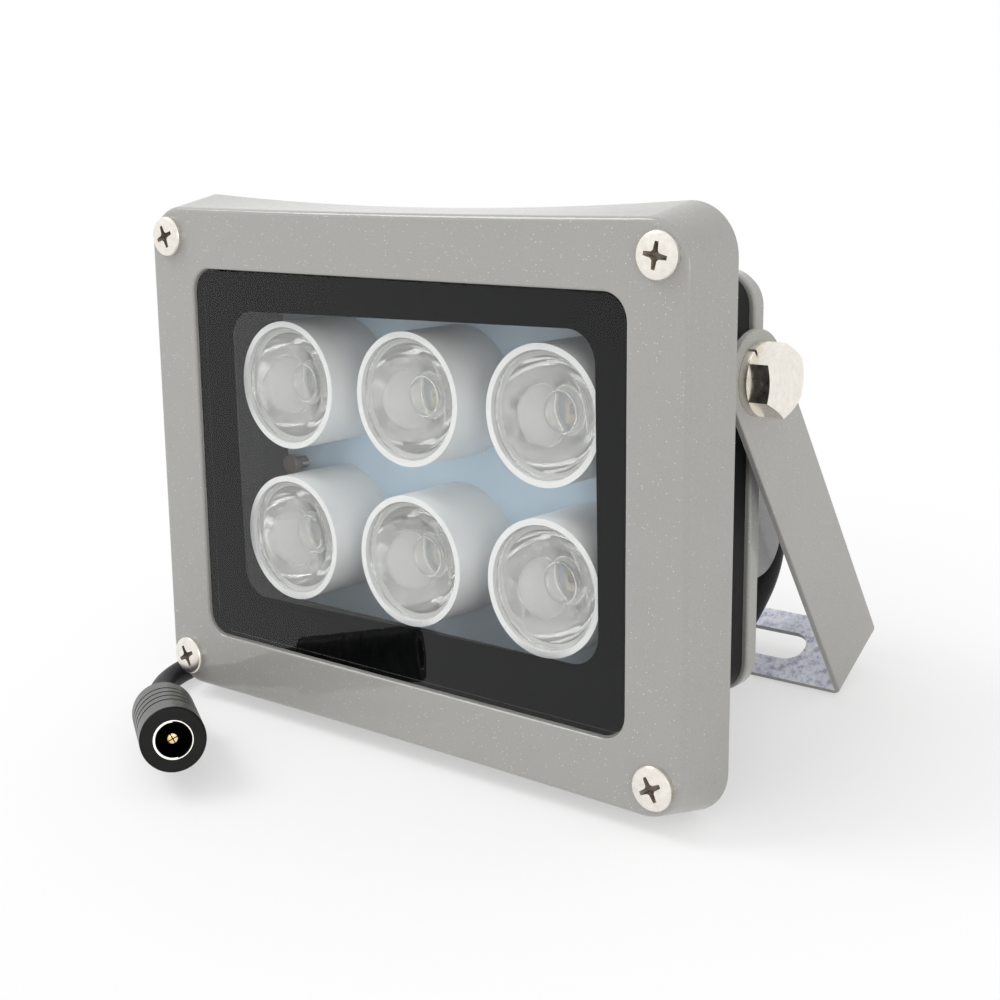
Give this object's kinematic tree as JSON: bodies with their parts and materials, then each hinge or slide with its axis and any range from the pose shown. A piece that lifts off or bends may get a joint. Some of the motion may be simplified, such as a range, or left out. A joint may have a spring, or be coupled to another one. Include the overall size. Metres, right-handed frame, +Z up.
{
  "type": "led flood light",
  "caption": "Compact LED flood light: glazed die-cast head with round lenses and rear fins, on a tilting U bracket, with a cable ending in a round power socket.",
  "frame": {"origin": "on the surface that the lamp stands on, below the centre of its bounding box without the cable and socket", "axes": "+Z up, +X to the right seen from the glass, along the bracket's pivot axis; -Y is the side that the glass faces, and the head leans back by 6.2 degrees"},
  "size_m": [0.1198, 0.1052, 0.0904],
  "materials": {
    "grey_casting": "warm grey sparkle powder paint on a die casting, satin",
    "grey_strip": "warm grey powder paint outside, mottled zinc plate inside",
    "nickel_steel": "bright nickel plate",
    "clear_glass": "clear toughened glass with a black printed border on its back",
    "black_rubber": "matt",
    "black_moulding": "fine satin moulding",
    "board_white": "pale blue-white solder mask on an aluminium core",
    "sensor_brown": "brown ceramic face",
    "tinned_wire": "bright plated",
    "board_green": "green solder mask",
    "ferrite": "dull ferrite",
    "capacitor_can": "sleeved can",
    "red_insulation": "red and black insulation",
    "emitter": "yellowish silicone dome on a white base",
    "white_moulding": "white, satin",
    "clear_lens": "clear moulded acrylic, polished",
    "black_cable": "satin",
    "brass_pin": "gold-coloured, bright"
  },
  "bodies": {
    "lamp_head": {"bezel": "grey_casting", "bezel_screws": "nickel_steel", "glass_panel": "clear_glass", "glass_seal": "black_rubber", "body_gasket": "black_rubber", "middle_frame": "black_moulding", "rear_seal": "black_rubber", "rear_housing": "grey_casting", "rear_screws": "nickel_steel", "led_board": "board_white", "board_screws": "nickel_steel", "light_sensor": "sensor_brown", "sensor_leads": "tinned_wire", "driver_board": "board_green", "driver_screws": "nickel_steel", "driver_choke": "ferrite", "driver_capacitor": "capacitor_can", "driver_chip": "black_moulding", "lamp_wires": "red_insulation", "feed_wires": "red_insulation", "gland_body": "black_moulding", "gland_nut": "black_moulding", "pivot_bolts": "nickel_steel", "spring_washers": "nickel_steel", "flat_washers": "nickel_steel", "cable": "black_cable", "jack_body": "black_moulding", "jack_sleeve": "tinned_wire", "jack_insulator": "black_moulding", "jack_pin": "brass_pin", "led_emitter_1": "emitter", "lens_holder_1": "white_moulding", "lens_1": "clear_lens", "led_emitter_2": "emitter", "lens_holder_2": "white_moulding", "lens_2": "clear_lens", "led_emitter_3": "emitter", "lens_holder_3": "white_moulding", "lens_3": "clear_lens", "led_emitter_4": "emitter", "lens_holder_4": "white_moulding", "lens_4": "clear_lens", "led_emitter_5": "emitter", "lens_holder_5": "white_moulding", "lens_5": "clear_lens", "led_emitter_6": "emitter", "lens_holder_6": "white_moulding", "lens_6": "clear_lens"},
    "bracket": {"bracket": "grey_strip"}
  },
  "joints": [
    {"name": "bracket_tilt", "type": "hinge", "parent": "lamp_head", "child": "bracket", "pos_m": [0, -0.0007, 0.06143], "axis": [1, 0, 0], "range_deg": [-23, 165]}
  ]
}
